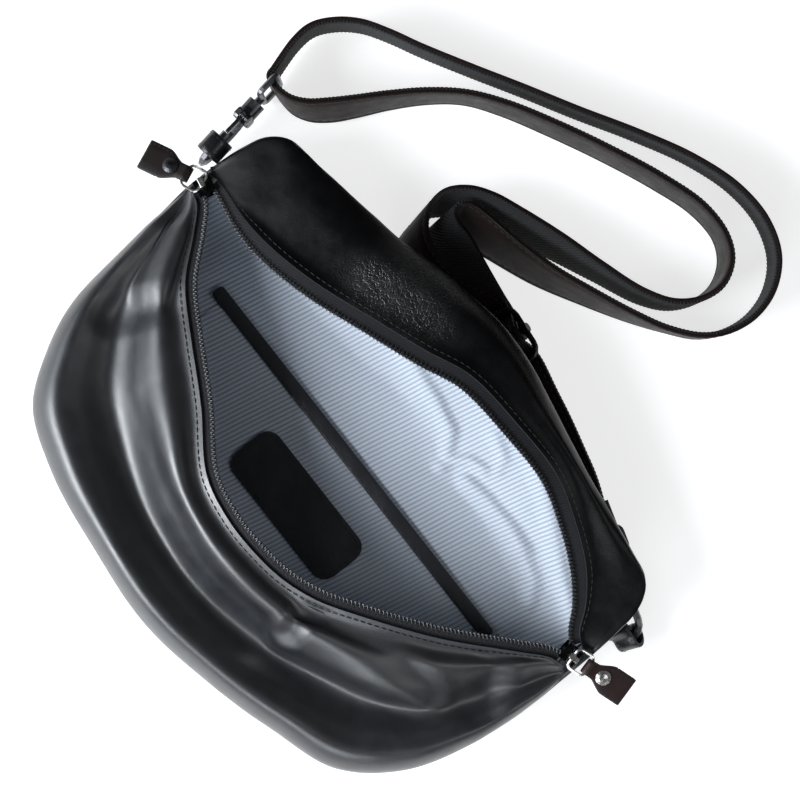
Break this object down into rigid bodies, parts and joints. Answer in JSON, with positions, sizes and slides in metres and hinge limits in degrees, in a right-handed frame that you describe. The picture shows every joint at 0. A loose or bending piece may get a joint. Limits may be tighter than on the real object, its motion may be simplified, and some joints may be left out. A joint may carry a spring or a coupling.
{
  "type": "belt bag",
  "caption": "Soft half-moon leather belt bag with a two-way zip along its mouth, snap hooks at both ends and a two-layer strap with a slide buckle, lying open on its back.",
  "frame": {"origin": "on the back panel's outer face, under the middle of the line between the zip's ends", "axes": "+Z out of the back panel, up as the bag lies; +X along the zip, from the end with the upright hook to the other; +Y from the rounded bottom towards the top fold and the strap"},
  "size_m": [0.3685, 0.37, 0.0635],
  "materials": {
    "black_leather": "smooth, semi-gloss",
    "tab_leather": "smooth, dark brown",
    "lining": "pale blue-grey, fine stripe",
    "zip_tape": "woven, matte",
    "zip_nylon": "satin",
    "nickel": "polished nickel",
    "gunmetal": "satin gunmetal",
    "black_metal": "satin black",
    "webbing": "ribbed webbing"
  },
  "bodies": {
    "bag": {"back_panel": "black_leather", "front_panel": "black_leather", "top_panel": "black_leather", "lining_back": "lining", "lining_front": "lining", "lining_top": "lining", "pocket_panel": "lining", "pocket_binding": "black_leather", "pocket_patch": "black_leather", "front_zip_tape": "zip_tape", "back_zip_tape": "zip_tape", "front_zip_coil": "zip_nylon", "back_zip_coil": "zip_nylon", "left_end_loop": "black_leather", "right_end_loop": "black_leather", "left_hook_eye": "gunmetal", "right_hook_eye": "gunmetal", "strap_leather": "black_leather", "strap_webbing": "webbing", "strap_buckle": "black_metal"},
    "left_slider": {"left_slider": "nickel"},
    "left_pull_ring": {"left_pull_ring": "nickel"},
    "left_pull_tab": {"left_pull_tab": "tab_leather", "left_pull_rivet": "nickel"},
    "right_slider": {"right_slider": "nickel"},
    "right_pull_ring": {"right_pull_ring": "nickel"},
    "right_pull_tab": {"right_pull_tab": "tab_leather", "right_pull_rivet": "nickel"},
    "left_hook": {"left_hook_body": "gunmetal", "left_hook_pin": "gunmetal", "left_hook_spring": "gunmetal"},
    "left_hook_gate": {"left_hook_gate": "gunmetal"},
    "right_hook": {"right_hook_body": "gunmetal", "right_hook_pin": "gunmetal", "right_hook_spring": "gunmetal"},
    "right_hook_gate": {"right_hook_gate": "gunmetal"}
  },
  "joints": [
    {"name": "left_slider_travel", "type": "slide", "parent": "bag", "child": "left_slider", "axis": [0.925, -0.1665, 0.3416], "range_m": [0, 0.115]},
    {"name": "left_pull_ring_hinge", "type": "hinge", "parent": "left_slider", "child": "left_pull_ring", "pos_m": [-0.15053, -0.00123, 0.02974], "axis": [-0.3272, 0.9372, -0.1208], "range_deg": [0, 150]},
    {"name": "left_pull_tab_hinge", "type": "hinge", "parent": "left_pull_ring", "child": "left_pull_tab", "pos_m": [-0.15972, -0.00469, 0.02783], "axis": [-0.3272, 0.9372, -0.1208], "range_deg": [-60, 60]},
    {"name": "right_slider_travel", "type": "slide", "parent": "bag", "child": "right_slider", "axis": [-0.925, -0.1665, 0.3416], "range_m": [0, 0.115]},
    {"name": "right_pull_ring_hinge", "type": "hinge", "parent": "right_slider", "child": "right_pull_ring", "pos_m": [0.15053, -0.00184, 0.02974], "axis": [0.2834, -0.9533, -0.1047], "range_deg": [0, 150]},
    {"name": "right_pull_tab_hinge", "type": "hinge", "parent": "right_pull_ring", "child": "right_pull_tab", "pos_m": [0.15987, 0.00115, 0.02777], "axis": [0.2834, -0.9533, -0.1047], "range_deg": [-60, 60]},
    {"name": "left_hook_swivel", "type": "hinge", "parent": "bag", "child": "left_hook", "pos_m": [-0.16635, 0.04562, 0.021], "axis": [-0.1564, 0.9877, 0], "range_deg": [-12, 12]},
    {"name": "left_hook_gate_hinge", "type": "hinge", "parent": "left_hook", "child": "left_hook_gate", "pos_m": [-0.16479, 0.03574, 0.0276], "axis": [0.9877, 0.1564, 0], "range_deg": [0, 15], "stiffness_Nm_per_rad": 0.02, "springref_deg": -11.46},
    {"name": "right_hook_swivel", "type": "hinge", "parent": "bag", "child": "right_hook", "pos_m": [0.12431, 0.03787, 0.013], "axis": [-0.9563, 0.2924, 0], "range_deg": [-5, 5]},
    {"name": "right_hook_gate_hinge", "type": "hinge", "parent": "right_hook", "child": "right_hook_gate", "pos_m": [0.13555, 0.04042, 0.0163], "axis": [0.1462, 0.4782, -0.866], "range_deg": [0, 15], "stiffness_Nm_per_rad": 0.02, "springref_deg": -11.46}
  ]
}
